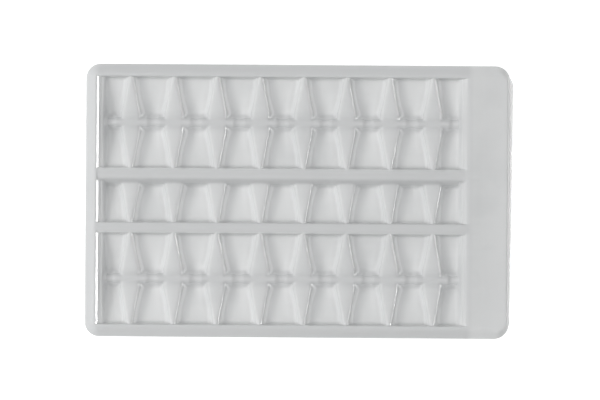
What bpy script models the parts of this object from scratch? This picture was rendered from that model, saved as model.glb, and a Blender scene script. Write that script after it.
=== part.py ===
"""Wet palette: a thermoformed tray of 45 wells lying on a shallow base that holds a wet sponge
and a sheet of palette paper. Metres, +Z up. The base stands on z = 0, and the well tray is centred on
the z axis, its rows along x. The base lies slightly askew under it, as loose trays do."""

import math

import bmesh
import bpy
from mathutils import Vector

# Well tray, in plan
TRAY_LENGTH = 0.230
TRAY_WIDTH = 0.148
TRAY_CORNER = 0.0080
LEFT_BORDER = 0.0065  # tray's left edge to the wells' left end
RIGHT_MARGIN = 0.0235  # flat land past the wells' right end
SIDE_BORDER = 0.0066  # along both long edges
BAR_WIDTH = 0.0053  # land between two bands of wells
COLUMNS = 9
END_WELL = 0.0180  # a band's end to the axis of its first rib
SHALLOW_WALL = 0.0027  # plan widths of the walls
DEEP_WALL = 0.0030
END_WALL = 0.0048
RIDGE_CREST = 0.0016  # flat top of the low ridge between two mirrored rows
RIB_WALL = 0.0046
RIB_POINT = 0.0011  # width of a rib's top at its shallow end
RIB_BASE = 0.0078  # and at its deep end

# Well tray, in height, counted down from its highest land
SHEET = 0.0009
SHALLOW_DEPTH = 0.0046
DEEP_DEPTH = 0.0082
SCOOP = 0.0007  # a well's middle below its sides
RIB_POINT_DROP = 0.0004
RIB_BASE_DROP = 0.0034
RIDGE_DROP = 0.0050
LAND_STEP = 0.0008  # the right land below the rest
LAND_RUN = 0.0100
SKIRT_DROP = 0.0033
SKIRT_WIDTH = 0.0055
RIGHT_SKIRT_WIDTH = 0.0022
SKIRT_CURVE = 1.25

# What lies under the tray
GAP = 0.0003  # between pieces that touch
WELL_CLEARANCE = 0.0045  # free height between the paper and the wells
PAPER = 0.0003
SPONGE = 0.0050
SPONGE_PLAY = 0.0012  # sponge to the base's wall, all round
PAPER_INSET = 0.0015  # paper's edge inside the sponge's
SPONGE_CORNER = 0.0060

# Base
BASE_WALL = 0.0010
BASE_REVEAL = 0.0012  # how far the rim shows past the tray's right edge
BASE_TUCK = 0.0012  # how far it hides inside the left edge
BASE_SIDE_TUCK = 0.0015  # and inside the long edges
BASE_TURN = math.radians(-0.6)
BASE_CORNER = 0.0090
FLANGE_WIDTH = 0.0030
FLANGE = 0.0011
LIP = 0.0013  # how far the flange's edge turns down
EDGE_BREAK = 0.0004
FLOOR_BREAK = 0.0008
DRAFT = math.radians(8)
CORNER_STEPS = 6

# Heights above the table, from the bottom up
SPONGE_Z = BASE_WALL + GAP
PAPER_Z = SPONGE_Z + SPONGE + GAP
LAND_Z = PAPER_Z + PAPER + WELL_CLEARANCE + SHEET + DEEP_DEPTH
BASE_HEIGHT = LAND_Z - SKIRT_DROP - SHEET - GAP

# Bands of wells, from the long edge at +y to the one at -y
WELL_RUN = (TRAY_WIDTH - 2 * SIDE_BORDER - 2 * BAR_WIDTH - 5 * DEEP_WALL - 2 * RIDGE_CREST) / 5
BAND_LEFT = LEFT_BORDER - TRAY_LENGTH / 2
BAND_RIGHT = TRAY_LENGTH / 2 - RIGHT_MARGIN
RIB_PITCH = (BAND_RIGHT - BAND_LEFT - 2 * END_WELL) / (COLUMNS - 2)
RIB_AXES = [BAND_LEFT + END_WELL + RIB_PITCH * i for i in range(COLUMNS - 1)]


def clear_scene():
    for old in list(bpy.data.objects):
        bpy.data.objects.remove(old, do_unlink=True)


def plastic(name, colour, roughness, alpha=1.0):
    material = bpy.data.materials.new(name)
    material.use_nodes = True
    shader = material.node_tree.nodes["Principled BSDF"]
    shader.inputs["Base Color"].default_value = (*colour, 1.0)
    shader.inputs["Roughness"].default_value = roughness
    shader.inputs["Metallic"].default_value = 0.0
    shader.inputs["Alpha"].default_value = alpha
    return material


def add_object(name, mesh_data, material, parent=None, place=(0, 0, 0)):
    mesh = bpy.data.meshes.new(name)
    mesh_data.normal_update()
    mesh_data.to_mesh(mesh)
    mesh_data.free()
    mesh.materials.append(material)
    body = bpy.data.objects.new(name, mesh)
    bpy.context.scene.collection.objects.link(body)
    body.parent = parent
    body.location = place
    return body


def add_frame(name, place, turn):
    frame = bpy.data.objects.new(name, None)
    bpy.context.scene.collection.objects.link(frame)
    frame.location = place
    frame.rotation_euler.z = turn
    return frame


def rounded_outline(length, width, radius, z):
    """Points of a rectangle with round corners, counter-clockwise from its right side."""
    points = []
    for corner, (sx, sy) in enumerate(((1, 1), (-1, 1), (-1, -1), (1, -1))):
        centre = Vector((sx * (length / 2 - radius), sy * (width / 2 - radius), z))
        for step in range(CORNER_STEPS + 1):
            angle = math.radians(90 * (corner + step / CORNER_STEPS))
            points.append(centre + radius * Vector((math.cos(angle), math.sin(angle), 0)))
    return points


def lofted(rings):
    """A closed body through rings of points, its first and last ring capped."""
    body = bmesh.new()
    loops = [[body.verts.new(point) for point in ring] for ring in rings]
    count = len(loops[0])
    for lower, upper in zip(loops, loops[1:]):
        for i in range(count):
            j = (i + 1) % count
            body.faces.new((lower[i], lower[j], upper[j], upper[i]))
    body.faces.new(loops[0][::-1])
    body.faces.new(loops[-1])
    bmesh.ops.recalc_face_normals(body, faces=body.faces)
    return body


# Base, sponge and paper


def base_length():
    return TRAY_LENGTH + BASE_REVEAL - BASE_TUCK


def base_width():
    return TRAY_WIDTH - 2 * BASE_SIDE_TUCK


def cavity_inset(z):
    """How far inside the base's outline its inner wall stands at height z."""
    return FLANGE_WIDTH + (BASE_HEIGHT - z) * math.tan(DRAFT)


def base_ring(inset, z):
    radius = BASE_CORNER - min(inset, BASE_CORNER - 2 * EDGE_BREAK)
    return rounded_outline(base_length() - 2 * inset, base_width() - 2 * inset, radius, z)


def make_base(frame):
    under = BASE_HEIGHT - FLANGE
    lip = under - LIP
    section = [
        (cavity_inset(0) - BASE_WALL + FLOOR_BREAK, 0),
        (cavity_inset(FLOOR_BREAK) - BASE_WALL, FLOOR_BREAK),
        (cavity_inset(under) - BASE_WALL, under),
        (BASE_WALL, under),
        (BASE_WALL, lip),
        (0, lip),
        (0, BASE_HEIGHT - EDGE_BREAK),
        (EDGE_BREAK, BASE_HEIGHT),
        (FLANGE_WIDTH - EDGE_BREAK, BASE_HEIGHT),
        (cavity_inset(BASE_HEIGHT - EDGE_BREAK), BASE_HEIGHT - EDGE_BREAK),
        (cavity_inset(BASE_WALL + FLOOR_BREAK), BASE_WALL + FLOOR_BREAK),
        (cavity_inset(BASE_WALL) + FLOOR_BREAK, BASE_WALL),
    ]
    body = lofted([base_ring(inset, z) for inset, z in section])
    return add_object("base_tray", body, plastic("base_plastic", (0.86, 0.87, 0.87), 0.35, 0.6), frame)


def sponge_inset():
    return cavity_inset(BASE_WALL) + FLOOR_BREAK + SPONGE_PLAY


def make_slab(name, inset, thickness, place, material, frame):
    length = base_length() - 2 * inset
    width = base_width() - 2 * inset
    rings = [rounded_outline(length, width, SPONGE_CORNER, z) for z in (0, thickness)]
    return add_object(name, lofted(rings), material, frame, place)


def make_sponge(frame):
    material = plastic("sponge_foam", (0.90, 0.89, 0.84), 0.95)
    return make_slab("reservoir_sponge", sponge_inset(), SPONGE, (0, 0, SPONGE_Z), material, frame)


def make_paper(frame):
    material = plastic("membrane_paper", (0.93, 0.92, 0.88), 0.75)
    inset = sponge_inset() + PAPER_INSET
    return make_slab("palette_paper", inset, PAPER, (0, 0, PAPER_Z), material, frame)


# Well tray: one sheet, a net of lines that follow its edges and feet


def band_rows():
    """Each row of wells as (y of its shallow edge, way to its deep end, what closes the deep end)."""
    top = TRAY_WIDTH / 2 - SIDE_BORDER
    double = 2 * (WELL_RUN + DEEP_WALL) + RIDGE_CREST
    single = WELL_RUN + DEEP_WALL
    middle = top - double - BAR_WIDTH
    low = middle - single - BAR_WIDTH
    return [
        (top, -1, "ridge"),
        (top - double, 1, "ridge"),
        (middle - single, 1, "bar"),
        (low, -1, "ridge"),
        (low - double, 1, "ridge"),
    ]


def row_reach(end):
    """How far a row reaches from its shallow edge: to the ridge's middle, or to the bar."""
    return WELL_RUN + DEEP_WALL + (RIDGE_CREST / 2 if end == "ridge" else 0)


def place_in_row(y):
    """(distance from the shallow edge, what closes the deep end) of a point on a row, or None on the land."""
    for edge, way, end in band_rows():
        run = (y - edge) * way
        if -GAP / 10 <= run <= row_reach(end) + GAP / 10:
            return max(run, 0), end
    return None


def blend(low, high, share):
    return low + (high - low) * min(max(share, 0), 1)


def rib_half(run):
    return blend(RIB_POINT, RIB_BASE, run / WELL_RUN) / 2


def land_height(x):
    return LAND_Z - blend(0, LAND_STEP, (x - BAND_RIGHT) / LAND_RUN)


def wall_height(top, foot, distance, width):
    return blend(top, foot, distance / width)


def well_height(x, run, end):
    """Height of the sheet at a point of a row, the highest of its floor, walls and ribs."""
    across = [abs(x - axis) for axis in RIB_AXES]
    nearest = min(across)
    half = rib_half(run)
    to_end = min(x - BAND_LEFT, BAND_RIGHT - x)
    share = min(run / WELL_RUN, 1)
    middle = LAND_Z - blend(SHALLOW_DEPTH, DEEP_DEPTH, share)
    side_gap = min(nearest - half - RIB_WALL, to_end - END_WALL)
    half_floor = RIB_PITCH / 2 - half - RIB_WALL
    floor = middle + SCOOP * max(0, 1 - side_gap / half_floor) ** 2 if side_gap > 0 else middle + SCOOP
    rib_top = LAND_Z - blend(RIB_POINT_DROP, RIB_BASE_DROP, share)
    deep_top = LAND_Z - (RIDGE_DROP if end == "ridge" else 0)
    rib_foot = max(nearest - half, 0)
    from_deep = max(WELL_RUN + DEEP_WALL - run, 0)
    return max(
        floor,
        wall_height(rib_top, floor, rib_foot, RIB_WALL),
        wall_height(LAND_Z, floor, to_end, END_WALL),
        wall_height(LAND_Z, floor, run, SHALLOW_WALL),
        wall_height(deep_top, floor, from_deep, DEEP_WALL),
    )


def rounded_place(x, y):
    """Moves a point of the square net into the tray's round corner: (x, y, distance to edge, skirt's width)."""
    sx = math.copysign(1, x)
    sy = math.copysign(1, y)
    skirt = RIGHT_SKIRT_WIDTH if x > 0 else SKIRT_WIDTH
    u = (abs(x) - TRAY_LENGTH / 2) / TRAY_CORNER + 1
    v = (abs(y) - TRAY_WIDTH / 2) / TRAY_CORNER + 1
    if u <= 0 or v <= 0:
        if u > v:
            return x, y, (1 - u) * TRAY_CORNER, skirt
        return x, y, (1 - v) * TRAY_CORNER, SKIRT_WIDTH
    round_u = u * math.sqrt(1 - v * v / 2)
    round_v = v * math.sqrt(1 - u * u / 2)
    reach = math.hypot(round_u, round_v)
    width = blend(skirt, SKIRT_WIDTH, math.atan2(round_v, round_u) / (math.pi / 2))
    new_x = sx * (TRAY_LENGTH / 2 + (round_u - 1) * TRAY_CORNER)
    new_y = sy * (TRAY_WIDTH / 2 + (round_v - 1) * TRAY_CORNER)
    return new_x, new_y, (1 - reach) * TRAY_CORNER, width


def sheet_point(x, y):
    """The point of the tray's upper face over a point of the square net."""
    inside = place_in_row(y) if BAND_LEFT < x < BAND_RIGHT else None
    if inside:
        return Vector((x, y, well_height(x, *inside)))
    x, y, distance, skirt = rounded_place(x, y)
    land = land_height(x)
    share = max(0, 1 - distance / skirt) ** SKIRT_CURVE
    return Vector((x, y, blend(land, LAND_Z - SKIRT_DROP, share)))


def net_y():
    """y of the net's lines, and how wide the ribs are there."""
    half = TRAY_WIDTH / 2
    inner = (half, half - SKIRT_WIDTH / 2, half - SKIRT_WIDTH)
    rows = band_rows()
    lines = [(y, 0) for y in inner]
    for edge, way, end in rows:
        runs = [0, SHALLOW_WALL, WELL_RUN, WELL_RUN + DEEP_WALL]
        stations = [(edge + way * run, run) for run in runs]
        lines += stations if way < 0 else stations[::-1]
    lines += [(-y, 0) for y in inner[::-1]]
    return lines


def net_x(run):
    """x of the net's lines at a given distance into a row."""
    half = TRAY_LENGTH / 2
    lines = [-half, SKIRT_WIDTH / 2 - half, SKIRT_WIDTH - half, BAND_LEFT, BAND_LEFT + END_WALL]
    reach = rib_half(run) + RIB_WALL
    for axis in RIB_AXES:
        lines.append((lines[-1] + axis - reach) / 2)
        lines += [axis - reach, axis - rib_half(run), axis + rib_half(run), axis + reach]
    foot = BAND_RIGHT - END_WALL
    lines += [(lines[-1] + foot) / 2, foot, BAND_RIGHT, BAND_RIGHT + LAND_RUN]
    lines += [half - TRAY_CORNER, half - TRAY_CORNER / 2, half - RIGHT_SKIRT_WIDTH, half]
    return lines


def make_well_tray():
    body = bmesh.new()
    net = []
    for y, run in net_y():
        net.append([body.verts.new(sheet_point(x, y)) for x in net_x(run)])
    for upper, lower in zip(net, net[1:]):
        for i in range(len(upper) - 1):
            body.faces.new((lower[i], lower[i + 1], upper[i + 1], upper[i]))
    upper_faces = list(body.faces)
    grown = bmesh.ops.extrude_face_region(body, geom=upper_faces, use_keep_orig=True)
    under = [item for item in grown["geom"] if isinstance(item, bmesh.types.BMVert)]
    bmesh.ops.translate(body, verts=under, vec=(0, 0, -SHEET))
    bmesh.ops.recalc_face_normals(body, faces=body.faces)
    material = plastic("tray_plastic", (0.80, 0.81, 0.81), 0.28, 0.8)
    return add_object("well_tray", body, material)


def main():
    clear_scene()
    shift = (BASE_REVEAL + BASE_TUCK) / 2
    frame = add_frame("base_frame", (shift, 0, 0), BASE_TURN)
    make_base(frame)
    make_sponge(frame)
    make_paper(frame)
    make_well_tray()


main()
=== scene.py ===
"""Wet palette: a milky well tray on a shallow base, with a sponge and a sheet of palette paper inside.
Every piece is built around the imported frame, in metres, and rides on the frame's bodies."""

import math

import bmesh
import bpy
from bpy.props import FloatProperty, FloatVectorProperty, IntProperty, PointerProperty
from mathutils import Matrix, Vector


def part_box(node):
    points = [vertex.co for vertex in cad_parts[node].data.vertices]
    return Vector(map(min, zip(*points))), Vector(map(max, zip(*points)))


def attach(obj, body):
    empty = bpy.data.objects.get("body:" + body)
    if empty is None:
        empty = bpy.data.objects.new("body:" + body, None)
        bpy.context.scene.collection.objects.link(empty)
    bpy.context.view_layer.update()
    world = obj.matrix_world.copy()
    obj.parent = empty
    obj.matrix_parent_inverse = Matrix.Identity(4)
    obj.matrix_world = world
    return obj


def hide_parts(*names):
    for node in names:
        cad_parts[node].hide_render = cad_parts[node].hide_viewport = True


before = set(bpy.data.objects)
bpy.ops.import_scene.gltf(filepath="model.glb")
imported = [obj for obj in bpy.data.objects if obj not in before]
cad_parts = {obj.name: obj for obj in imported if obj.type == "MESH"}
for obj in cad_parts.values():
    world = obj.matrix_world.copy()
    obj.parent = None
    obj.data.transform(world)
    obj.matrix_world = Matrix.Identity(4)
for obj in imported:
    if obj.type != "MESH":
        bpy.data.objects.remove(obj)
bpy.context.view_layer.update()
TRAY_LOW, TRAY_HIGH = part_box("well_tray")
BASE_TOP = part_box("base_tray")[1].z
SPONGE_LOW, SPONGE_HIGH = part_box("reservoir_sponge")
PAPER_LOW, PAPER_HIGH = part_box("palette_paper")

bl_info = {
    "name": "Wet palette",
    "version": (1, 0, 0),
    "blender": (4, 5, 0),
    "location": "View3D > Sidebar > Wet palette",
    "description": "Builds a well tray, its base, the sponge and the paper around a packed frame",
    "category": "Add Mesh",
}


# Settings


def length_setting(name, description, default):
    return FloatProperty(name=name, description=description, default=default, unit="LENGTH", min=0.0)


def colour_setting(name, description, default):
    return FloatVectorProperty(
        name=name, description=description, default=default, subtype="COLOR", size=3, min=0.0, max=1.0
    )


class TraySizes(bpy.types.PropertyGroup):
    length: length_setting("Length", "Tray along its rows", TRAY_HIGH.x - TRAY_LOW.x)
    width: length_setting("Width", "Tray across its rows", TRAY_HIGH.y - TRAY_LOW.y)
    corner: length_setting("Corner radius", "Tray's corners in plan", 0.008)
    sheet: length_setting("Sheet", "Thickness of the formed sheet", 0.0009)
    left_border: length_setting("Left border", "Tray's left edge to the wells", 0.0059)
    right_margin: length_setting("Right margin", "Flat land past the wells", 0.0229)
    side_border: length_setting("Side border", "Border along both long edges", 0.0066)
    bar: length_setting("Bar", "Land between two bands of wells", 0.0053)
    columns: IntProperty(name="Columns", description="Wells in a row", default=9, min=3)
    end_well: length_setting("End well", "Band's end to its first rib", 0.0186)
    shallow_wall: length_setting("Shallow wall", "Wall at a well's shallow end, in plan", 0.0009)
    deep_wall: length_setting("Deep wall", "Wall at a well's deep end, in plan", 0.0042)
    end_wall: length_setting("End wall", "Wall at a band's end, in plan", 0.005)
    ridge_crest: length_setting("Ridge crest", "Top of the low ridge between mirrored rows", 0.0016)
    rib_wall: length_setting("Rib wall", "Flank of a rib, in plan", 0.0046)
    rib_point: length_setting("Rib point", "Rib's top at its shallow end", 0.0011)
    rib_base: length_setting("Rib base", "Rib's top at its deep end", 0.0078)
    rib_crown: length_setting("Rib crown", "Rise of a rib's top over its sides", 0.0002)
    shallow_depth: length_setting("Shallow depth", "Well at its shallow end", 0.0042)
    deep_depth: length_setting("Deep depth", "Well at its deep end", 0.0082)
    scoop: length_setting("Scoop", "Well's middle below its sides", 0.0019)
    rib_saddle: length_setting("Rib saddle", "Ribs' last stretch, which dips to the low ridge", 0.004)
    saddle_drop: length_setting("Saddle drop", "Dip of a rib where the low ridge crosses it", 0.0012)
    point_drop: length_setting("Rib point drop", "Rib's shallow end below the land", 0.0004)
    base_drop: length_setting("Rib base drop", "Rib's deep end below the land", 0.0034)
    ridge_drop: length_setting("Ridge drop", "Low ridge below the land", 0.004)
    # Painted light reaches this far up a wall, partly for the sheet thinned there
    thinned_height: length_setting("Thinned height", "How far up a wall the sheet is thinned", 0.0075)
    ridge_sag: length_setting("Ridge sag", "Sag of the low ridge between two ribs", 0.0009)
    bar_crown: length_setting("Bar crown", "Bar's middle over its edges", 0.0005)
    land_step: length_setting("Land step", "Right land below the rest", 0.0008)
    land_run: length_setting("Land run", "Plan length of that step", 0.01)
    skirt: length_setting("Skirt", "Sloped rim on three sides, in plan", 0.0055)
    right_skirt: length_setting("Right skirt", "Sloped rim past the right land", 0.0012)
    skirt_drop: length_setting("Skirt drop", "Rim's outer edge below the land", 0.0033)


class BaseSizes(bpy.types.PropertyGroup):
    length: length_setting("Length", "Base along the rows", 0.230)
    width: length_setting("Width", "Base across the rows", 0.145)
    corner: length_setting("Corner radius", "Base's corners in plan", 0.009)
    wall: length_setting("Wall", "Base's wall and floor", 0.001)
    shift: length_setting("Shift", "Base's centre to the tray's, towards the land", 0.0012)
    turn: FloatProperty(
        name="Turn", description="How askew the base lies", default=math.radians(-0.6), subtype="ANGLE"
    )
    draft: FloatProperty(
        name="Draft", description="Lean of the base's walls", default=math.radians(8), subtype="ANGLE"
    )
    flange: length_setting("Flange", "Width of the flat rim", 0.003)
    flange_sheet: length_setting("Flange sheet", "Thickness of the rim", 0.0011)
    lip: length_setting("Lip", "How far the rim's edge turns down", 0.0013)


class SoftSizes(bpy.types.PropertyGroup):
    sponge_round: length_setting("Sponge edge", "Radius of the sponge's edges", 0.0016)
    sponge_corner: length_setting("Sponge corner", "Sponge's corners in plan", 0.006)
    pore: length_setting("Pore", "Distance between the sponge's large pores", 0.0045)
    pore_depth: length_setting("Pore depth", "How far the large pores sink", 0.0009)
    paper_sheet: length_setting("Paper sheet", "Thickness of the damp paper", 0.00014)
    paper_corner: length_setting("Paper corner", "Paper's corners in plan", 0.0045)
    cockle: length_setting("Cockle", "Rise of the damp paper's waves", 0.0007)
    cockle_size: length_setting("Cockle size", "Distance between two waves", 0.055)
    seed: IntProperty(name="Seed", description="Pattern of the pores and waves", default=4)


class Colours(bpy.types.PropertyGroup):
    tray: colour_setting("Tray", "Milky sheet of the well tray", (0.745, 0.755, 0.76))
    # Lighter tone of the wells: painted light for the white beneath showing through the thinned sheet
    tray_wells_painted_light: colour_setting("Tray's wells", "The sheet where it is stretched thin", (0.86, 0.87, 0.87))
    tray_cloud: colour_setting("Tray's clouds", "Cloudy patches in the sheet", (0.70, 0.715, 0.72))
    base: colour_setting("Base", "Clearer sheet of the base", (0.945, 0.95, 0.95))
    sponge: colour_setting("Sponge", "Cellulose sponge", (0.86, 0.85, 0.80))
    paper: colour_setting("Paper", "Damp membrane paper", (0.88, 0.875, 0.85))
    table: colour_setting("Table", "Stage floor", (0.93, 0.93, 0.93))


class StageSettings(bpy.types.PropertyGroup):
    view_height: length_setting("Camera height", "Camera over the tray", 1.2)
    view_width: length_setting("Width seen", "Width of the picture at the tray's land", 0.3247)
    roll: FloatProperty(
        name="Roll",
        description="Turn of the camera about its axis",
        default=math.radians(0.4),
        subtype="ANGLE",
    )
    key: FloatProperty(name="Key", description="Power of the left softbox", default=20.0, unit="POWER")
    edge: FloatProperty(name="Edge", description="Power of the right strip", default=58.0, unit="POWER")
    horizon: FloatProperty(
        name="Horizon", description="Even light low down, as a share of overhead", default=0.15, min=0.0
    )
    sky: FloatProperty(name="Sky", description="Strength of the even light", default=0.87, min=0.0)


# Formulas as nodes


class Field:
    """A number at each point of a shape, written as a formula and kept as math nodes."""

    def __init__(self, tree, socket):
        self.tree = tree
        self.socket = socket

    def made_by(self, operation, *others):
        node = self.tree.nodes.new("ShaderNodeMath")
        node.operation = operation
        for entry, value in zip(node.inputs, (self, *others)):
            if isinstance(value, Field):
                self.tree.links.new(value.socket, entry)
            else:
                entry.default_value = value
        return Field(self.tree, node.outputs[0])

    def __add__(self, other):
        return self.made_by("ADD", other)

    def __sub__(self, other):
        return self.made_by("SUBTRACT", other)

    def __mul__(self, other):
        return self.made_by("MULTIPLY", other)

    def __truediv__(self, other):
        return self.made_by("DIVIDE", other)

    def __rsub__(self, other):
        return self * -1 + other

    def __rtruediv__(self, other):
        return (self * 0.0 + other) / self

    def __neg__(self):
        return self * -1

    def __abs__(self):
        return self.made_by("ABSOLUTE")

    __radd__ = __add__
    __rmul__ = __mul__

    def over(self, other):
        """1 where this is greater than the other, else 0."""
        return self.made_by("GREATER_THAN", other)

    def most(self, other):
        return self.made_by("MAXIMUM", other)

    def least(self, other):
        return self.made_by("MINIMUM", other)

    def soft_most(self, other, round_by):
        return self.made_by("SMOOTH_MAX", other, round_by)

    def between(self, low, high):
        return self.most(low).least(high)

    def share(self):
        return self.between(0.0, 1.0)

    def to(self, other, part):
        """This where part is 0, the other where it is 1."""
        return self + (other - self) * part


def new_tree(name, sizes):
    """A geometry tree with one named length for each size: (tree, inputs as fields, output node)."""
    tree = bpy.data.node_groups.new(name, "GeometryNodeTree")
    tree.interface.new_socket("Geometry", in_out="INPUT", socket_type="NodeSocketGeometry")
    tree.interface.new_socket("Geometry", in_out="OUTPUT", socket_type="NodeSocketGeometry")
    for size in sizes:
        tree.interface.new_socket(size, in_out="INPUT", socket_type="NodeSocketFloat")
    start = tree.nodes.new("NodeGroupInput")
    end = tree.nodes.new("NodeGroupOutput")
    fields = {socket.name: Field(tree, socket) for socket in start.outputs if socket.name}
    return tree, fields, end


def position_fields(tree):
    """x and y of each point, as fields."""
    position = tree.nodes.new("GeometryNodeInputPosition")
    apart = tree.nodes.new("ShaderNodeSeparateXYZ")
    tree.links.new(position.outputs[0], apart.inputs[0])
    return Field(tree, apart.outputs[0]), Field(tree, apart.outputs[1])


def lifted(tree, geometry, height):
    """Moves each point up by a field: the geometry socket of the result."""
    raise_by = tree.nodes.new("ShaderNodeCombineXYZ")
    tree.links.new(height.socket, raise_by.inputs[2])
    lift = tree.nodes.new("GeometryNodeSetPosition")
    tree.links.new(geometry, lift.inputs["Geometry"])
    tree.links.new(raise_by.outputs[0], lift.inputs["Offset"])
    return lift.outputs[0]


def noise_field(tree, cell, seed, detail=2.0):
    """Soft noise from 0 to 1 with features about one cell across."""
    noise = tree.nodes.new("ShaderNodeTexNoise")
    noise.noise_dimensions = "4D"
    tree.links.new((1.0 / cell).socket, noise.inputs["Scale"])
    tree.links.new((seed * 3.7).socket, noise.inputs["W"])
    noise.inputs["Detail"].default_value = detail
    return Field(tree, noise.outputs[0])


def finish_tree(tree, geometry, end, material):
    weld, smooth, real, dress = node_chain(
        tree,
        geometry,
        "GeometryNodeMergeByDistance",
        "GeometryNodeSetShadeSmooth",
        "GeometryNodeRealizeInstances",
        "GeometryNodeSetMaterial",
    )
    weld.inputs["Distance"].default_value = 1e-6
    dress.inputs["Material"].default_value = material
    tree.links.new(dress.outputs[0], end.inputs[0])
    place_nodes(tree)


def thickened(tree, geometry, sheet):
    """Gives a surface the sheet's thickness, straight down."""
    down = tree.nodes.new("ShaderNodeCombineXYZ")
    tree.links.new((-sheet).socket, down.inputs[2])
    under = tree.nodes.new("GeometryNodeExtrudeMesh")
    under.inputs["Individual"].default_value = False
    under.inputs["Offset Scale"].default_value = 1.0
    tree.links.new(geometry, under.inputs["Mesh"])
    tree.links.new(down.outputs[0], under.inputs["Offset"])
    turned = tree.nodes.new("GeometryNodeFlipFaces")
    tree.links.new(under.outputs[0], turned.inputs[0])
    both = tree.nodes.new("GeometryNodeJoinGeometry")
    tree.links.new(turned.outputs[0], both.inputs[0])
    tree.links.new(geometry, both.inputs[0])
    return both.outputs[0]


def place_nodes(tree):
    """Lays the nodes out in columns, in the order they were made."""
    for i, node in enumerate(tree.nodes):
        node.location = (220 * (i // 8), -180 * (i % 8))


def node_chain(tree, start, *kinds):
    """Links geometry nodes one after the other from a geometry socket."""
    socket = start
    made = []
    for kind in kinds:
        node = tree.nodes.new(kind)
        tree.links.new(socket, node.inputs[0])
        socket = node.outputs[0]
        made.append(node)
    return made


RISE_BEHIND_EDGE = 0.2


def formed_wall(top, foot, distance, width, entry=0.7, power=2.0, round_by=0.0003):
    """Height of a wall that leaves its top edge at the entry slope and gets steeper towards its foot.

    Behind its edge the wall's line rises on, so that it meets the top in a rounded edge."""
    on = distance.most(0.0)
    steeper = (top - foot - width * entry).most(0.0)
    drop = on * entry + steeper * (on / width).made_by("POWER", power)
    behind = -(distance.least(0.0))
    return (top - drop + behind * RISE_BEHIND_EDGE).made_by("SMOOTH_MIN", top, round_by)


# Well tray


ROWS = 5
DOUBLE_BANDS = 2


def tray_lines(sizes):
    """Lengths that follow from the tray's sizes. A double band has a low ridge between its two rows."""
    for_rows = sizes.width - 2 * sizes.side_border - 2 * sizes.bar - DOUBLE_BANDS * sizes.ridge_crest
    run = for_rows / ROWS - sizes.deep_wall
    left = sizes.left_border - sizes.length / 2
    right = sizes.length / 2 - sizes.right_margin
    pitch = (right - left - 2 * sizes.end_well) / (sizes.columns - 2)
    half_double = run + sizes.deep_wall + sizes.ridge_crest / 2
    top = sizes.width / 2 - sizes.side_border
    single_top = top - 2 * half_double - sizes.bar
    return {
        "Well run": run,
        "Wells left": left,
        "Wells right": right,
        "First rib": left + sizes.end_well,
        "Rib pitch": pitch,
        "Half double band": half_double,
        "Double band centre": top - half_double,
        "Single band edge": single_top - run - sizes.deep_wall,
        "Bar centre": single_top + sizes.bar / 2,
    }


def rows_of(sizes, lines):
    """Each row as (y of its shallow edge, way to its deep end)."""
    centre = lines["Double band centre"]
    half = lines["Half double band"]
    return [
        (centre + half, -1),
        (centre - half, 1),
        (lines["Single band edge"], 1),
        (half - centre, -1),
        (-centre - half, 1),
    ]


def steps(stops, counts):
    """Values that run through the stops, with so many steps between each two."""
    values = [stops[0]]
    for low, high, count in zip(stops, stops[1:], counts):
        values += [low + (high - low) * (i + 1) / count for i in range(count)]
    return values


# Steps of the net over each stretch of the tray
WALL_STEPS = 6
FLOOR_STEPS = 6
EDGE_STEPS = 4
RIB_TOP_STEPS = 2
RUN_STEPS = 13
SKIRT_STEPS = 7
BORDER_STEPS = 2
SHOULDER_STEPS = 6
RIDGE_STEPS = 3
BAR_STEPS = 6
LAND_STEPS = 9
CORNER_STEPS = 7
RIGHT_SKIRT_STEPS = 5

# Where the net's lines follow a rib: a share of its flank past its top, and of its half width
RIB_EDGE_SHARE = 0.12
RIB_MIDDLE_SHARE = 0.6

# Plan length of the facet at the top of a band's end wall
SHOULDER_RUN = 0.0014


def net_y(sizes, lines):
    """(y, distance into its row) of the net's lines, from the far edge to the near one."""
    half = sizes.width / 2
    stops = [half, half - sizes.skirt, half - sizes.side_border]
    border = steps(stops, [SKIRT_STEPS, BORDER_STEPS])[:-1]
    result = [(y, 0.0) for y in border]
    stops = [0, sizes.shallow_wall, lines["Well run"], lines["Well run"] + sizes.deep_wall]
    runs = steps(stops, [WALL_STEPS - 1, RUN_STEPS, WALL_STEPS])
    for row, (edge, way) in enumerate(rows_of(sizes, lines)):
        stations = [(edge + way * run, run) for run in runs]
        stations = stations if way < 0 else stations[::-1]
        if row:
            last_y, last_run = result[-1]
            first_y, first_run = stations[0]
            count = RIDGE_STEPS if row in (1, 4) else BAR_STEPS
            for i in range(1, count):
                share = i / count
                result.append(
                    (last_y + (first_y - last_y) * share, last_run + (first_run - last_run) * share)
                )
        result += stations
    result += [(-y, 0.0) for y in border[::-1]]
    return result


def net_x(sizes, lines, run):
    """x of the net's lines at a distance into a row: they follow the ribs as these widen."""
    half = sizes.length / 2
    share = min(run / lines["Well run"], 1)
    rib = (sizes.rib_point + (sizes.rib_base - sizes.rib_point) * share) / 2
    left = lines["Wells left"]
    stops = [-half, sizes.skirt - half, left, left + SHOULDER_RUN, left + sizes.end_wall]
    counts = [SKIRT_STEPS, BORDER_STEPS, SHOULDER_STEPS, WALL_STEPS]
    for i in range(sizes.columns - 1):
        axis = lines["First rib"] + lines["Rib pitch"] * i
        for way in (-1, 1):
            foot = rib + sizes.rib_wall
            edge = rib + sizes.rib_wall * RIB_EDGE_SHARE
            stops += [axis + way * reach for reach in (foot, edge, rib * RIB_MIDDLE_SHARE)[::-way]]
        counts += [FLOOR_STEPS, WALL_STEPS, EDGE_STEPS, RIB_TOP_STEPS, EDGE_STEPS, WALL_STEPS]
    right = lines["Wells right"]
    stops += [right - sizes.end_wall, right, half - sizes.corner, half - sizes.right_skirt, half]
    counts += [FLOOR_STEPS, WALL_STEPS, LAND_STEPS, CORNER_STEPS, RIGHT_SKIRT_STEPS]
    return steps(stops, counts)


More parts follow.
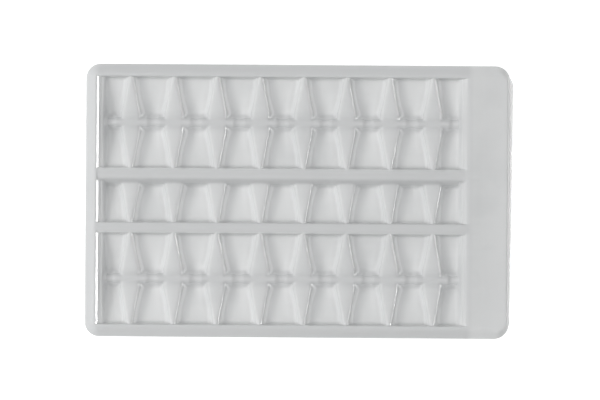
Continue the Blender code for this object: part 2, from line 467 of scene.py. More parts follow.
def into_corner(x, y, half_length, half_width, radius):
    """Moves a point of a square net into the round corner that it belongs to."""
    u = (abs(x) - half_length) / radius + 1
    v = (abs(y) - half_width) / radius + 1
    if u <= 0 or v <= 0:
        return x, y
    round_u = u * math.sqrt(1 - v * v / 2)
    round_v = v * math.sqrt(1 - u * u / 2)
    new_x = math.copysign(half_length + (round_u - 1) * radius, x)
    new_y = math.copysign(half_width + (round_v - 1) * radius, y)
    return new_x, new_y


def plain_net(length, width, corner, cell, edge_steps):
    """A flat even net with round corners and finer lines along its edges."""
    half_x, half_y = length / 2, width / 2
    across = int((length - 2 * corner) / cell)
    down = int((width - 2 * corner) / cell)
    stops_x = [-half_x, corner - half_x, half_x - corner, half_x]
    stops_y = [half_y, half_y - corner, corner - half_y, -half_y]
    columns = steps(stops_x, [edge_steps, across, edge_steps])
    rows = steps(stops_y, [edge_steps, down, edge_steps])
    net = bmesh.new()
    loops = []
    for y in rows:
        places = [into_corner(x, y, half_x, half_y, corner) for x in columns]
        loops.append([net.verts.new((*place, 0)) for place in places])
    join_net(net, loops)
    return net


def join_net(net, rows):
    """Fills the squares between each two rows of vertices."""
    for upper, lower in zip(rows, rows[1:]):
        for i in range(len(upper) - 1):
            net.faces.new((lower[i], lower[i + 1], upper[i + 1], upper[i]))


def flat_net(sizes, lines):
    """The sheet before it is formed: a flat net whose lines follow the wells' edges."""
    net = bmesh.new()
    rows = []
    for y, run in net_y(sizes, lines):
        row = []
        for x in net_x(sizes, lines, run):
            place = into_corner(x, y, sizes.length / 2, sizes.width / 2, sizes.corner)
            row.append(net.verts.new((*place, 0)))
        rows.append(row)
    join_net(net, rows)
    return net


# The tray tree takes in each of these settings as an input of the same name
TRAY_SETTINGS = (
    "rib_wall rib_point rib_base rib_crown end_wall shallow_wall deep_wall shallow_depth deep_depth "
    "scoop point_drop base_drop ridge_drop thinned_height ridge_sag rib_saddle saddle_drop bar "
    "bar_crown land_step land_run skirt right_skirt skirt_drop corner length width sheet"
).split()


def edge_field(size, x, y):
    """(distance to a rounded outline's edge, how far the nearest edge is the right one)."""
    in_x = abs(x) - (size["Length"] * 0.5 - size["Corner"])
    in_y = abs(y) - (size["Width"] * 0.5 - size["Corner"])
    out_x = in_x.most(0.0)
    out_y = in_y.most(0.0)
    reach = (out_x * out_x + out_y * out_y).made_by("SQRT") + in_x.most(in_y).least(0.0)
    return size["Corner"] - reach, out_x / (out_x + out_y + 1e-7) * x.over(0.0)


SKIRT_CURVE = 1.25


def land_field(size, x, y):
    """Height of the tray outside its wells, counted from its highest land."""
    far = abs(y)
    from_bar = abs(far - size["Bar centre"]) / (size["Bar"] * 0.5)
    past = ((x - size["Wells right"]) / size["Land run"]).share()
    before = ((size["Wells left"] - x) / size["Skirt"]).share()
    step = past * past * (3.0 - past * 2.0)
    on_bar = (1.0 - step) * (1.0 - before) * (1.0 - from_bar.over(1.0))
    crown = size["Bar crown"] * from_bar * from_bar * on_bar
    land = -(size["Land step"] * step) - crown
    to_edge, right_part = edge_field(size, x, y)
    skirt = size["Skirt"].to(size["Right skirt"], right_part)
    slope = (1.0 - to_edge / skirt).share().made_by("POWER", SKIRT_CURVE)
    return land + (-size["Skirt drop"] - land) * slope


# Fillets between a well's floor and its walls
RIB_FILLET = 0.0009
END_FILLET = 0.0007
SHALLOW_FILLET = 0.0003
DEEP_FILLET = 0.0011

SHOULDER_SLOPE = 0.5
FULL_SCOOP_SPAN = 0.7
SHALLOW_SCOOP = 0.1

# Where painted shade and painted light fall on the sheet, in shares of a wall's plan width
DEEP_WALL_SHADED = 0.3
DEEP_WALL_FADE = 1.1
PAINTED_LIGHT_EDGE_REACH = 3.0
RIB_FOOT_REACH = 0.8
END_FOOT_REACH = 0.36

# Where the sheet is matte: depths on an end wall, and how soon a wall's height ends it
MATTE_FROM = 0.0014
MATTE_WITHIN = 0.0006
MATTE_FADE = 1.12


def well_field(size, x, y, last_rib):
    """The tray in its bands of wells, as four fields: its height, 1 inside the bands, how much lighter
    its colour is painted (painted light low in the wells, partly for the sheet thinned there, held back
    by painted shade on the deep walls and at each well's left foot), and how matte it is."""
    far = abs(y)
    double = far.over(size["Bar centre"])
    run_double = size["Half double band"] - abs(far - size["Double band centre"])
    run = (y - size["Single band edge"]).to(run_double, double)
    by_bar = 1.0 - far.over(size["Double band centre"])
    edge_top = -(size["Bar crown"] * by_bar)
    deep_top = edge_top.to(-size["Ridge drop"], double)
    share = (run / size["Well run"]).share()
    half = size["Rib point"].to(size["Rib base"], share) * 0.5
    middle = -(size["Shallow depth"].to(size["Deep depth"], share))

    cell = ((x - size["First rib"]) / size["Rib pitch"]).made_by("FLOOR").between(-1.0, last_rib)
    left_axis = size["First rib"] + cell * size["Rib pitch"]
    left_foot = (left_axis + half + size["Rib wall"]).to(
        size["Wells left"] + size["End wall"], (-cell).over(0.5)
    )
    right_foot = (left_axis + size["Rib pitch"] - half - size["Rib wall"]).to(
        size["Wells right"] - size["End wall"], cell.over(last_rib - 0.5)
    )
    span = (right_foot - left_foot).most(1e-6)
    across = ((x - left_foot) / span).share()
    bowl = 1.0 - across * (1.0 - across) * 4.0
    scoop = size["Scoop"] * (span / (size["Rib pitch"] * FULL_SCOOP_SPAN)).least(1.0)
    floor = middle + scoop * bowl * (SHALLOW_SCOOP + share * (1.0 - SHALLOW_SCOOP))

    near = ((x - size["First rib"]) / size["Rib pitch"]).made_by("ROUND").between(0.0, last_rib)
    from_axis = abs(x - size["First rib"] - near * size["Rib pitch"])
    crown = (from_axis / half).least(1.0)
    to_deep_edge = size["Well run"] + size["Deep wall"] - run
    dip = (1.0 - to_deep_edge / size["Rib saddle"]).most(0.0)
    rib_top = -(size["Point drop"].to(size["Base drop"], share * (2.0 - share)))
    rib_top = rib_top - size["Rib crown"] * crown * crown - size["Saddle drop"] * dip * dip * double
    to_end = (x - size["Wells left"]).least(size["Wells right"] - x)
    rib = formed_wall(rib_top, floor, from_axis - half, size["Rib wall"], entry=1.0, round_by=0.0009)
    shoulder = to_end.between(0.0, SHOULDER_RUN) * -SHOULDER_SLOPE
    end = formed_wall(shoulder, floor, to_end, size["End wall"], entry=0.3, power=6.0, round_by=0.0001)
    shallow = formed_wall(edge_top, floor, run, size["Shallow wall"])
    sag = (1.0 - bowl) * size["Ridge sag"] * double
    deep = formed_wall(deep_top - sag, floor, to_deep_edge, size["Deep wall"])
    height = floor.soft_most(rib, RIB_FILLET)
    height = height.soft_most(end, END_FILLET)
    height = height.soft_most(shallow, SHALLOW_FILLET)
    height = height.soft_most(deep, DEEP_FILLET)
    inside = run.over(0.0) * to_end.over(0.0)

    # Painted shade keeps the colour dark on the deep walls and at each well's left foot; painted light
    # makes
    #     it lighter low in the wells and on the shallow walls, partly for the sheet thinned over the
    #     floor
    # Painted shade: the deep walls keep the darker colour
    off_deep_wall = ((to_deep_edge / size["Deep wall"] - DEEP_WALL_SHADED) * DEEP_WALL_FADE).share()
    # Painted light on the shallow walls
    painted_light_edge = (1.0 - run / (size["Shallow wall"] * PAINTED_LIGHT_EDGE_REACH)).share()
    # Painted shade at each well's left foot, and at the foot of a band's left end wall
    foot_reach = (size["Rib wall"] * RIB_FOOT_REACH).to(
        size["End wall"] * END_FOOT_REACH, (-cell).over(0.5)
    )
    painted_foot_shade = (1.0 - abs(x - left_foot) / foot_reach).share()
    # Painted light low in the wells, partly for the sheet thinned there
    sunk = (1.0 - (height - floor) / size["Thinned height"]).share() * inside
    thinned_and_painted_light = sunk.most(painted_light_edge) * (1.0 - painted_foot_shade) * inside * off_deep_wall

    # The mould leaves its matte grain on the floors and low walls, and the ribs' tops stay glossy
    on_end = ((-height - MATTE_FROM) / MATTE_WITHIN).share() * (1.0 - to_end.over(size["End wall"]))
    matte = (1.0 - (height - floor) / (rib_top - floor) * MATTE_FADE).share()
    return height.least(0.0), inside, thinned_and_painted_light, matte.most(on_end) * inside


# How much lighter the colour is made: on the right land, and extra on the step down to it
LAND_LIGHTER = 0.55
STEP_LIGHTER = 1.2


def forming_tree(sizes, lines, material):
    """Forms the flat net into the tray and gives it the sheet's thickness."""
    inputs = {name.replace("_", " ").capitalize(): getattr(sizes, name) for name in TRAY_SETTINGS}
    inputs.update(lines)
    tree, size, end = new_tree("Form the well tray", inputs)
    x, y = position_fields(tree)
    land = land_field(size, x, y)
    well, inside, thinned_and_painted_light, matte = well_field(size, x, y, float(sizes.columns - 2))
    height = land.to(well, inside)
    past = ((x - size["Wells right"]) / size["Land run"]).share()
    # The right land and its step get a lighter colour
    land_lighter = (past * 3.0).share() * LAND_LIGHTER + past * (1.0 - past) * STEP_LIGHTER
    # Stores the mask of painted light and shade that colours the sheet, and the matte mask
    marked = size["Geometry"].socket
    for name, value in (("thinned_and_painted_light", thinned_and_painted_light + land_lighter), ("matte", matte)):
        keep = tree.nodes.new("GeometryNodeStoreNamedAttribute")
        keep.data_type = "FLOAT"
        keep.domain = "POINT"
        keep.inputs["Name"].default_value = name
        tree.links.new(marked, keep.inputs["Geometry"])
        tree.links.new(value.socket, keep.inputs["Value"])
        marked = keep.outputs[0]
    formed = lifted(tree, marked, height)
    finish_tree(tree, thickened(tree, formed, size["Sheet"]), end, material)
    return tree, inputs


def grown_mesh(name, start, tree, inputs):
    """Runs a geometry tree on a mesh and returns the result as a plain mesh object."""
    seed = bpy.data.meshes.new(name + "_start")
    start.to_mesh(seed)
    start.free()
    body = bpy.data.objects.new(name, seed)
    bpy.context.scene.collection.objects.link(body)
    modifier = body.modifiers.new(tree.name, "NODES")
    modifier.node_group = tree
    for item in tree.interface.items_tree:
        if item.in_out == "INPUT" and item.name in inputs:
            modifier[item.identifier] = inputs[item.name]
    graph = bpy.context.evaluated_depsgraph_get()
    mesh = bpy.data.meshes.new_from_object(body.evaluated_get(graph), depsgraph=graph)
    body.modifiers.clear()
    body.data = mesh
    bpy.data.meshes.remove(seed)
    mesh.name = name
    return body


# Materials


def new_material(name, colour, roughness):
    material = bpy.data.materials.new(name)
    material.use_nodes = True
    shader = material.node_tree.nodes["Principled BSDF"]
    shader.inputs["Base Color"].default_value = (*colour, 1.0)
    shader.inputs["Roughness"].default_value = roughness
    return material, shader


class Shading:
    """Short ways to add and link a material's nodes."""

    def __init__(self, tree):
        self.tree = tree
        self.nodes = tree.nodes
        self.links = tree.links

    def add(self, kind, settings=None, **values):
        node = self.nodes.new(kind)
        for name, value in (settings or {}).items():
            setattr(node, name, value)
        for name, value in values.items():
            self.put(value, node.inputs[name.replace("_", " ")])
        return node

    def put(self, value, entry):
        if isinstance(value, bpy.types.NodeSocket):
            self.links.new(value, entry)
        else:
            entry.default_value = value

    def math(self, operation, first, second):
        node = self.add("ShaderNodeMath", {"operation": operation})
        self.put(first, node.inputs[0])
        self.put(second, node.inputs[1])
        return node.outputs[0]

    def ramp(self, value, low, high, to_low=0.0, to_high=1.0):
        node = self.add("ShaderNodeMapRange", {"interpolation_type": "SMOOTHSTEP"}, Value=value)
        ends = {"From Min": low, "From Max": high, "To Min": to_low, "To Max": to_high}
        for name, number in ends.items():
            self.put(number, node.inputs[name])
        return node.outputs[0]

    def mix(self, part, first, second):
        node = self.add("ShaderNodeMix", {"data_type": "RGBA"})
        self.put(part, node.inputs[0])
        self.put(first, node.inputs[6])
        self.put(second, node.inputs[7])
        return node.outputs[2]

    def object_point(self, stretch=(1, 1, 1), turn=0.0):
        place = self.add("ShaderNodeTexCoord")
        mapping = self.add("ShaderNodeMapping", Vector=place.outputs["Object"])
        mapping.inputs["Scale"].default_value = stretch
        mapping.inputs["Rotation"].default_value = (0, 0, turn)
        return mapping.outputs[0]

    def noise(self, point, scale, detail=3.0, roughness=0.5):
        return self.add(
            "ShaderNodeTexNoise", Vector=point, Scale=scale, Detail=detail, Roughness=roughness
        ).outputs[0]


def formed_sheet_group():
    """Marks of a formed plastic sheet: cloudy patches, faint draw lines and fine handling scratches."""
    group = bpy.data.node_groups.new("Formed sheet", "ShaderNodeTree")
    for name, default in (("Cloud size", 0.03), ("Scratches", 1.0), ("Roughness", 0.2)):
        socket = group.interface.new_socket(name, in_out="INPUT", socket_type="NodeSocketFloat")
        socket.default_value = default
    for name in ("Cloud", "Roughness", "Height"):
        group.interface.new_socket(name, in_out="OUTPUT", socket_type="NodeSocketFloat")
    shade = Shading(group)
    start = shade.add("NodeGroupInput")
    end = shade.add("NodeGroupOutput")
    scale = shade.math("DIVIDE", 1.0, start.outputs["Cloud size"])
    clouds = shade.noise(shade.object_point(), scale, 4.0)
    draw = shade.noise(shade.object_point((30, 260, 30), 0.03), 1.0, 2.0)
    # Three sets of long thin scratches: how each is turned and stretched
    marks = []
    for turn, reach in ((0.35, (60, 2600, 60)), (-0.9, (70, 2200, 70)), (1.35, (55, 2900, 55))):
        lines = shade.noise(shade.object_point(reach, turn), 1.0, 1.0)
        marks.append(shade.ramp(lines, 0.70, 0.78))
    scratch = shade.math("MAXIMUM", shade.math("MAXIMUM", marks[0], marks[1]), marks[2])
    scratch = shade.math("MULTIPLY", scratch, start.outputs["Scratches"])
    grain = shade.noise(shade.object_point(), 900.0, 2.0)
    cloud = shade.math("ADD", clouds, shade.math("MULTIPLY", draw, 0.15))
    shade.put(shade.ramp(cloud, 0.45, 0.9), end.inputs["Cloud"])
    rough = shade.math("MULTIPLY_ADD", scratch, 0.04)
    shade.put(start.outputs["Roughness"], rough.node.inputs[2])
    spread = shade.math("MULTIPLY_ADD", clouds, 0.06)
    shade.put(rough, spread.node.inputs[2])
    shade.put(spread, end.inputs["Roughness"])
    height = shade.math("MULTIPLY_ADD", scratch, -0.015)
    shade.put(shade.math("MULTIPLY_ADD", grain, 0.1), height.node.inputs[2])
    waves = shade.math("MULTIPLY_ADD", clouds, 3.0)
    shade.put(height, waves.node.inputs[2])
    shade.put(waves, end.inputs["Height"])
    return group


MATTE_ROUGHNESS = 0.4
TRAY_BUMP = 0.35
BASE_BUMP = 0.06


def milky_plastic(name, colour, cloud_colour, painted_light_colour=None, roughness=0.1, see_through=0.2):
    """Translucent sheet. With a painted light colour it mixes to that colour by the mesh's mask of
    painted light and shade, and roughens where the mesh says matte.
    """
    material, shader = new_material(name, colour, roughness)
    shader.inputs["IOR"].default_value = 1.49
    shader.inputs["Transmission Weight"].default_value = see_through
    shade = Shading(material.node_tree)
    marks = shade.add("ShaderNodeGroup", {"node_tree": bpy.data.node_groups["Formed sheet"]})
    marks.inputs["Roughness"].default_value = roughness
    tone = (*colour, 1.0)
    if painted_light_colour:
        # Painted light and shade: the mesh's mask mixes in the lighter colour
        thin = shade.add("ShaderNodeAttribute", {"attribute_name": "thinned_and_painted_light"}).outputs["Fac"]
        tone = shade.mix(thin, tone, (*painted_light_colour, 1.0))
    clouded = shade.mix(shade.math("MULTIPLY", marks.outputs["Cloud"], 0.5), tone, (*cloud_colour, 1.0))
    shade.put(clouded, shader.inputs["Base Color"])
    rough = marks.outputs["Roughness"]
    if painted_light_colour:
        matte = shade.add("ShaderNodeAttribute", {"attribute_name": "matte"}).outputs["Fac"]
        rough = shade.math("MULTIPLY_ADD", matte, MATTE_ROUGHNESS)
        shade.put(marks.outputs["Roughness"], rough.node.inputs[2])
    shade.put(rough, shader.inputs["Roughness"])
    strength = TRAY_BUMP if painted_light_colour else BASE_BUMP
    bump = shade.add(
        "ShaderNodeBump", Strength=strength, Distance=0.00008, Height=marks.outputs["Height"]
    )
    shade.put(bump.outputs[0], shader.inputs["Normal"])
    return material


def sponge_foam(name, colour):
    """Cellulose: warm blotches, small pores filled with painted shade, and a coarse skin."""
    material, shader = new_material(name, colour, 0.95)
    shader.inputs["Specular IOR Level"].default_value = 0.2
    shade = Shading(material.node_tree)
    point = shade.object_point()
    blotch = shade.ramp(shade.noise(point, 45.0, 4.0), 0.35, 0.7)
    fine = shade.add("ShaderNodeTexVoronoi", Vector=point, Scale=900.0).outputs["Distance"]
    coarse = shade.add("ShaderNodeTexVoronoi", Vector=point, Scale=330.0).outputs["Distance"]
    pores = shade.math("MINIMUM", shade.ramp(fine, 0.12, 0.4), shade.ramp(coarse, 0.1, 0.32))
    warm = tuple(part * tint for part, tint in zip(colour, (0.97, 0.90, 0.76)))
    # Painted shade in the pores
    pore_shade = tuple(part * 0.55 for part in warm)
    body = shade.mix(blotch, (*colour, 1.0), (*warm, 1.0))
    shade.put(shade.mix(pores, (*pore_shade, 1.0), body), shader.inputs["Base Color"])
    skin = shade.math("ADD", pores, shade.math("MULTIPLY", shade.noise(point, 1500.0), 0.4))
    bump = shade.add("ShaderNodeBump", Strength=0.9, Distance=0.0004, Height=skin)
    shade.put(bump.outputs[0], shader.inputs["Normal"])
    return material


def membrane_paper(name, colour):
    """Damp palette paper: short fibres, damp blotches and a soft tooth."""
    material, shader = new_material(name, colour, 0.6)
    shade = Shading(material.node_tree)
    point = shade.object_point()
    damp = shade.ramp(shade.noise(point, 28.0, 5.0), 0.42, 0.62)
    fibres = shade.math(
        "MAXIMUM",
        shade.ramp(shade.noise(shade.object_point((500, 3000, 500), 0.4), 1.0, 1.0), 0.6, 0.75),
        shade.ramp(shade.noise(shade.object_point((500, 3000, 500), 1.9), 1.0, 1.0), 0.6, 0.75),
    )
    wet = tuple(part * 0.9 for part in colour)
    pulp = tuple(part * 0.95 for part in colour)
    body = shade.mix(damp, (*colour, 1.0), (*wet, 1.0))
    shade.put(shade.mix(fibres, body, (*pulp, 1.0)), shader.inputs["Base Color"])
    shade.put(shade.ramp(damp, 0.0, 1.0, 0.72, 0.42), shader.inputs["Roughness"])
    tooth = shade.math("ADD", fibres, shade.noise(point, 2200.0))
    bump = shade.add("ShaderNodeBump", Strength=0.4, Distance=0.0001, Height=tooth)
    shade.put(bump.outputs[0], shader.inputs["Normal"])
    return material


# Base


def rounded_outline(length, width, radius, z, corner_steps=12):
    """Points around a rectangle with round corners, at one height."""
    points = []
    for corner, (sx, sy) in enumerate(((1, 1), (-1, 1), (-1, -1), (1, -1))):
        centre = Vector((sx * (length / 2 - radius), sy * (width / 2 - radius), z))
        for step in range(corner_steps + 1):
            angle = math.radians(90 * (corner + step / corner_steps))
            points.append(centre + radius * Vector((math.cos(angle), math.sin(angle), 0)))
    return points


def lofted(rings):
    """A closed body whose skin runs through rings with the same number of points."""
    body = bmesh.new()
    loops = [[body.verts.new(point) for point in ring] for ring in rings]
    count = len(loops[0])
    for lower, upper in zip(loops, loops[1:]):
        for i in range(count):
            j = (i + 1) % count
            body.faces.new((lower[i], lower[j], upper[j], upper[i]))
    body.faces.new(loops[0][::-1])
    body.faces.new(loops[-1])
    bmesh.ops.recalc_face_normals(body, faces=body.faces)
    return body


SHARP_FROM = math.radians(40)


def add_piece(name, body, material, place=None):
    mesh = bpy.data.meshes.new(name)
    body.to_mesh(mesh)
    body.free()
    if place:
        mesh.transform(place)
    mesh.materials.append(material)
    mesh.shade_smooth()
    mesh.set_sharp_from_angle(angle=SHARP_FROM)
    piece = bpy.data.objects.new(name, mesh)
    bpy.context.scene.collection.objects.link(piece)
    return piece


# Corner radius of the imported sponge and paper
SOFT_CAD_CORNER = 0.006


def base_axes(sizes, low, high):
    """A piece's own length, width and height from its box, where it lies askew as the base does.

    Its round corners keep that box a little smaller than a sharp rectangle's."""
    box = high - low
    turn = abs(sizes.turn)
    flat = Matrix(((math.cos(turn), math.sin(turn)), (math.sin(turn), math.cos(turn)))).inverted()
    corner = (1 - math.cos(turn)) + math.sin(turn)
    length, width = flat @ Vector((box.x, box.y))
    return Vector((length, width, box.z)) + Vector((1, 1, 0)) * corner * SOFT_CAD_CORNER * 2


def base_place(sizes):
    """Where the base and what lies in it stand under the tray."""
    return Matrix.Translation((sizes.shift, 0, 0)) @ Matrix.Rotation(sizes.turn, 4, "Z")


ROUND_STEPS = 4
# Flat faces close the floor inside this inset, and no ring's corner radius is under the least
FLOOR_RING_INSET = 0.03
LEAST_CORNER = 0.0012


def rounded_section(corners):
    """Points along a closed section whose corners (inset, height, radius) are rounded."""
    points = []
    for i, (inward, z, radius) in enumerate(corners):
        here = Vector((inward, z))
        back = (Vector(corners[i - 1][:2]) - here).normalized()
        ahead = (Vector(corners[(i + 1) % len(corners)][:2]) - here).normalized()
        half_angle = back.angle(ahead) / 2
        if radius == 0 or half_angle > math.radians(89):
            points.append(here)
            continue
        cut = radius / math.tan(half_angle)
        middle = here + (back + ahead).normalized() * radius / math.sin(half_angle)
        first = here + back * cut - middle
        last = here + ahead * cut - middle
        for step in range(ROUND_STEPS + 1):
            share = step / ROUND_STEPS
            spoke = (first * (1 - share) + last * share).normalized() * radius
            points.append(middle + spoke)
    return points


def base_shell(sizes, material):
    """The base's wall, floor and turned-down rim, lofted around its round outline.

    The section's corners are listed as how far in from the rim, height and radius."""
    height = BASE_TOP
    lean = math.tan(sizes.draft)
    under = height - sizes.flange_sheet
    outer = sizes.flange - sizes.wall
    corners = [
        (FLOOR_RING_INSET, 0, 0),
        (outer + height * lean, 0, 0.0014),
        (outer + sizes.flange_sheet * lean, under, 0.0003),
        (sizes.wall, under, 0.0003),
        (sizes.wall, under - sizes.lip, 0.0002),
        (0, under - sizes.lip, 0.0003),
        (0, height, 0.0005),
        (sizes.flange, height, 0.0005),
        (sizes.flange + (height - sizes.wall) * lean, sizes.wall, 0.0012),
        (FLOOR_RING_INSET, sizes.wall, 0),
    ]
    rings = []
    for inward, z in rounded_section(corners):
        radius = max(sizes.corner - inward, LEAST_CORNER)
        rings.append(rounded_outline(sizes.length - 2 * inward, sizes.width - 2 * inward, radius, z))
    return add_piece("base_tray_shell", lofted(rings), material, base_place(sizes))


# Sponge and paper


SPONGE_CELL = 0.0011
SPONGE_EDGE_STEPS = 9
PAPER_CELL = 0.0022
PAPER_EDGE_STEPS = 5
# Keeps the two halves' edges exactly level where they are welded
EDGE_LEVEL = 2e-6


def sponge_tree(soft, length, width, height, material):
    """Puffs a flat net up and down into two halves, welded along their edge."""
    inputs = {
        "Length": length,
        "Width": width,
        "Corner": soft.sponge_corner,
        "Half height": height / 2,
        "Edge": soft.sponge_round,
        "Pore": soft.pore,
        "Pore depth": soft.pore_depth,
        "Seed": float(soft.seed),
    }
    tree, size, end = new_tree("Puff and pit the sponge", inputs)
    x, y = position_fields(tree)
    to_edge, _ = edge_field(size, x, y)
    inward = 1.0 - ((to_edge - EDGE_LEVEL) / size["Edge"]).share()
    profile = (1.0 - inward * inward).most(0.0).made_by("SQRT")
    inner = (to_edge / size["Edge"] - 1.0).share()
    halves = []
    for side, way in ((1.0, 1.0), (-1.0, 9.0)):
        wide = noise_field(tree, size["Pore"] * 6.0, size["Seed"] + way)
        pits = noise_field(tree, size["Pore"], size["Seed"] + way * 2.0, 3.0)
        sunk = ((pits - 0.5) * 5.0).share() * size["Pore depth"] + wide * size["Pore depth"] * 0.3
        height = profile * size["Half height"] - sunk * inner
        halves.append(lifted(tree, size["Geometry"].socket, height * side))
    turned = tree.nodes.new("GeometryNodeFlipFaces")
    tree.links.new(halves[1], turned.inputs[0])
    both = tree.nodes.new("GeometryNodeJoinGeometry")
    tree.links.new(halves[0], both.inputs[0])
    tree.links.new(turned.outputs[0], both.inputs[0])
    finish_tree(tree, both.outputs[0], end, material)
    return tree, inputs


def paper_tree(soft, material):
    """Raises soft waves in a flat net and gives it the paper's thickness."""
    inputs = {
        "Cockle": soft.cockle,
        "Cockle size": soft.cockle_size,
        "Sheet": soft.paper_sheet,
        "Seed": float(soft.seed),
    }
    tree, size, end = new_tree("Cockle the paper", inputs)
    waves = noise_field(tree, size["Cockle size"], size["Seed"], 1.0)
    ripples = noise_field(tree, size["Cockle size"] * 0.35, size["Seed"] + 2.0, 1.0)
    height = ((waves - 0.3) * 1.6).share() * size["Cockle"] + ripples * size["Cockle"] * 0.25
    formed = lifted(tree, size["Geometry"].socket, height)
    finish_tree(tree, thickened(tree, formed, size["Sheet"]), end, material)
    return tree, inputs


# Operators


class WETPALETTE_OT_well_tray(bpy.types.Operator):
    """Form the well tray from its flat sheet"""

    bl_idname = "wetpalette.well_tray"
    bl_label = "Well tray"

    def execute(self, context):
        settings = context.scene.wet_palette
        sizes = settings.tray
        lines = tray_lines(sizes)
        colours = settings.colours
        material = milky_plastic("tray_plastic", colours.tray, colours.tray_cloud, colours.tray_wells_painted_light)
        tree, inputs = forming_tree(sizes, lines, material)
        tray = grown_mesh("well_tray_shell", flat_net(sizes, lines), tree, inputs)
        tray.data.transform(Matrix.Translation((0, 0, TRAY_HIGH.z)))
        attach(tray, "tray")
        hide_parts("well_tray")
        return {"FINISHED"}


class WETPALETTE_OT_base(bpy.types.Operator):
    """Build the base that the tray lies on"""

    bl_idname = "wetpalette.base"
    bl_label = "Base"

    def execute(self, context):
        settings = context.scene.wet_palette
        colours = settings.colours
        material = milky_plastic("base_plastic", colours.base, colours.base, None, 0.08, 0.65)
        base = base_shell(settings.base, material)
        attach(base, "base")
        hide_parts("base_tray")
        return {"FINISHED"}


class WETPALETTE_OT_sponge(bpy.types.Operator):
    """Build the sponge that fills the base"""

    bl_idname = "wetpalette.sponge"
    bl_label = "Sponge"

    def execute(self, context):
        settings = context.scene.wet_palette
        soft = settings.soft
        size = base_axes(settings.base, SPONGE_LOW, SPONGE_HIGH)
        material = sponge_foam("sponge_foam", settings.colours.sponge)
        net = plain_net(size.x, size.y, soft.sponge_corner, SPONGE_CELL, SPONGE_EDGE_STEPS)
        tree, inputs = sponge_tree(soft, size.x, size.y, size.z, material)
        pad = grown_mesh("sponge_pad", net, tree, inputs)
        middle = Matrix.Translation((0, 0, (SPONGE_LOW.z + SPONGE_HIGH.z) / 2))
        pad.data.transform(middle @ base_place(settings.base))
        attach(pad, "sponge")
        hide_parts("reservoir_sponge")
        return {"FINISHED"}


class WETPALETTE_OT_paper(bpy.types.Operator):
    """Lay the palette paper on the sponge"""

    bl_idname = "wetpalette.paper"
    bl_label = "Paper"

    def execute(self, context):
        settings = context.scene.wet_palette
        soft = settings.soft
        size = base_axes(settings.base, PAPER_LOW, PAPER_HIGH)
        material = membrane_paper("membrane_paper", settings.colours.paper)
        net = plain_net(size.x, size.y, soft.paper_corner, PAPER_CELL, PAPER_EDGE_STEPS)
        tree, inputs = paper_tree(soft, material)
        paper = grown_mesh("paper_sheet", net, tree, inputs)
        floor = Matrix.Translation((0, 0, PAPER_LOW.z + soft.paper_sheet))
        paper.data.transform(floor @ base_place(settings.base))
        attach(paper, "paper")
        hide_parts("palette_paper")
        return {"FINISHED"}


TABLE_HALF = 4.0
TABLE_GLOW = 0.5
UNDER_BASE = 0.0002
KEY_PLACE = (-1.7, 0.0, 1.06)
KEY_SIZE = (1.4, 0.9)
EDGE_PLACE = (1.7, 0.0, 0.6)
EDGE_SIZE = (3.4, 0.18)
CAMERA_ASIDE = (0.0014, 0.0007)


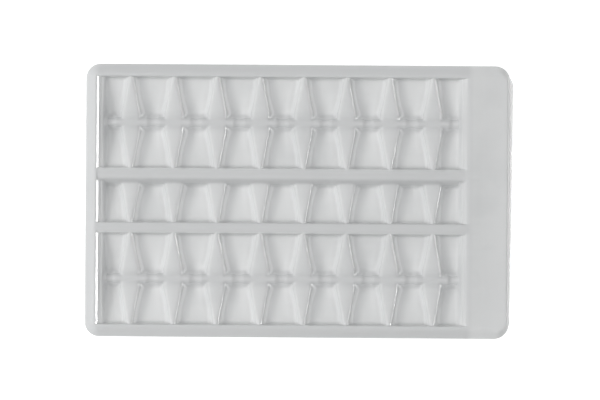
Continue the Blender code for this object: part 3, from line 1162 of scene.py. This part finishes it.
class WETPALETTE_OT_stage(bpy.types.Operator):
    """Set the table, the lights and the camera"""

    bl_idname = "wetpalette.stage"
    bl_label = "Stage"

    def execute(self, context):
        settings = context.scene.wet_palette
        stage = settings.stage
        table = bmesh.new()
        bmesh.ops.create_grid(table, x_segments=2, y_segments=2, size=TABLE_HALF)
        floor_material, shader = new_material("table", settings.colours.table, 0.9)
        shader.inputs["Emission Color"].default_value = (1.0, 1.0, 1.0, 1.0)
        shader.inputs["Emission Strength"].default_value = TABLE_GLOW
        floor = add_piece("table", table, floor_material)
        floor.data.transform(Matrix.Translation((0, 0, -UNDER_BASE)))

        world = bpy.data.worlds.new("even light")
        world.use_nodes = True
        sky = world.node_tree.nodes["Background"]
        shade = Shading(world.node_tree)
        way = shade.add("ShaderNodeTexCoord").outputs["Generated"]
        up = shade.add("ShaderNodeSeparateXYZ", Vector=way).outputs[2]
        shade.put(shade.ramp(up, 0.0, 1.0, stage.horizon, 1.0), sky.inputs["Color"])
        sky.inputs["Strength"].default_value = stage.sky
        context.scene.world = world

        key = add_light("key", KEY_PLACE, KEY_SIZE, stage.key)
        key.visible_glossy = False
        edge = add_light("edge", EDGE_PLACE, EDGE_SIZE, stage.edge)
        edge.visible_diffuse = False

        camera_data = bpy.data.cameras.new("camera")
        camera_data.lens = camera_data.sensor_width * stage.view_height / stage.view_width
        camera_data.clip_start = 0.01
        camera = bpy.data.objects.new("camera", camera_data)
        camera.location = (*CAMERA_ASIDE, TRAY_HIGH.z + stage.view_height)
        camera.rotation_euler = (0, 0, stage.roll)
        context.scene.collection.objects.link(camera)
        context.scene.camera = camera
        context.scene.view_settings.view_transform = "Standard"
        return {"FINISHED"}


def add_light(name, place, size, power):
    """A rectangular light that faces the origin."""
    lamp = bpy.data.lights.new(name, "AREA")
    lamp.shape = "RECTANGLE"
    lamp.size, lamp.size_y = size
    lamp.energy = power
    light = bpy.data.objects.new(name, lamp)
    light.location = place
    light.rotation_euler = (-Vector(place)).to_track_quat("-Z", "Y").to_euler()
    bpy.context.scene.collection.objects.link(light)
    return light


class WetPaletteSettings(bpy.types.PropertyGroup):
    tray: PointerProperty(type=TraySizes)
    base: PointerProperty(type=BaseSizes)
    soft: PointerProperty(type=SoftSizes)
    colours: PointerProperty(type=Colours)
    stage: PointerProperty(type=StageSettings)


class WETPALETTE_PT_panel(bpy.types.Panel):
    bl_label = "Wet palette"
    bl_idname = "WETPALETTE_PT_panel"
    bl_space_type = "VIEW_3D"
    bl_region_type = "UI"
    bl_category = "Wet palette"

    def draw(self, context):
        for operator in OPERATORS:
            self.layout.operator(operator.bl_idname)


OPERATORS = [
    WETPALETTE_OT_well_tray,
    WETPALETTE_OT_base,
    WETPALETTE_OT_sponge,
    WETPALETTE_OT_paper,
    WETPALETTE_OT_stage,
]
CLASSES = [
    TraySizes,
    BaseSizes,
    SoftSizes,
    Colours,
    StageSettings,
    WetPaletteSettings,
    *OPERATORS,
    WETPALETTE_PT_panel,
]


def register():
    for item in CLASSES:
        bpy.utils.register_class(item)
    bpy.types.Scene.wet_palette = PointerProperty(type=WetPaletteSettings)


def unregister():
    del bpy.types.Scene.wet_palette
    for item in reversed(CLASSES):
        bpy.utils.unregister_class(item)


def main():
    register()
    formed_sheet_group()
    bpy.ops.wetpalette.well_tray()
    bpy.ops.wetpalette.base()
    bpy.ops.wetpalette.sponge()
    bpy.ops.wetpalette.paper()
    bpy.ops.wetpalette.stage()


if __name__ == "__main__":
    main()
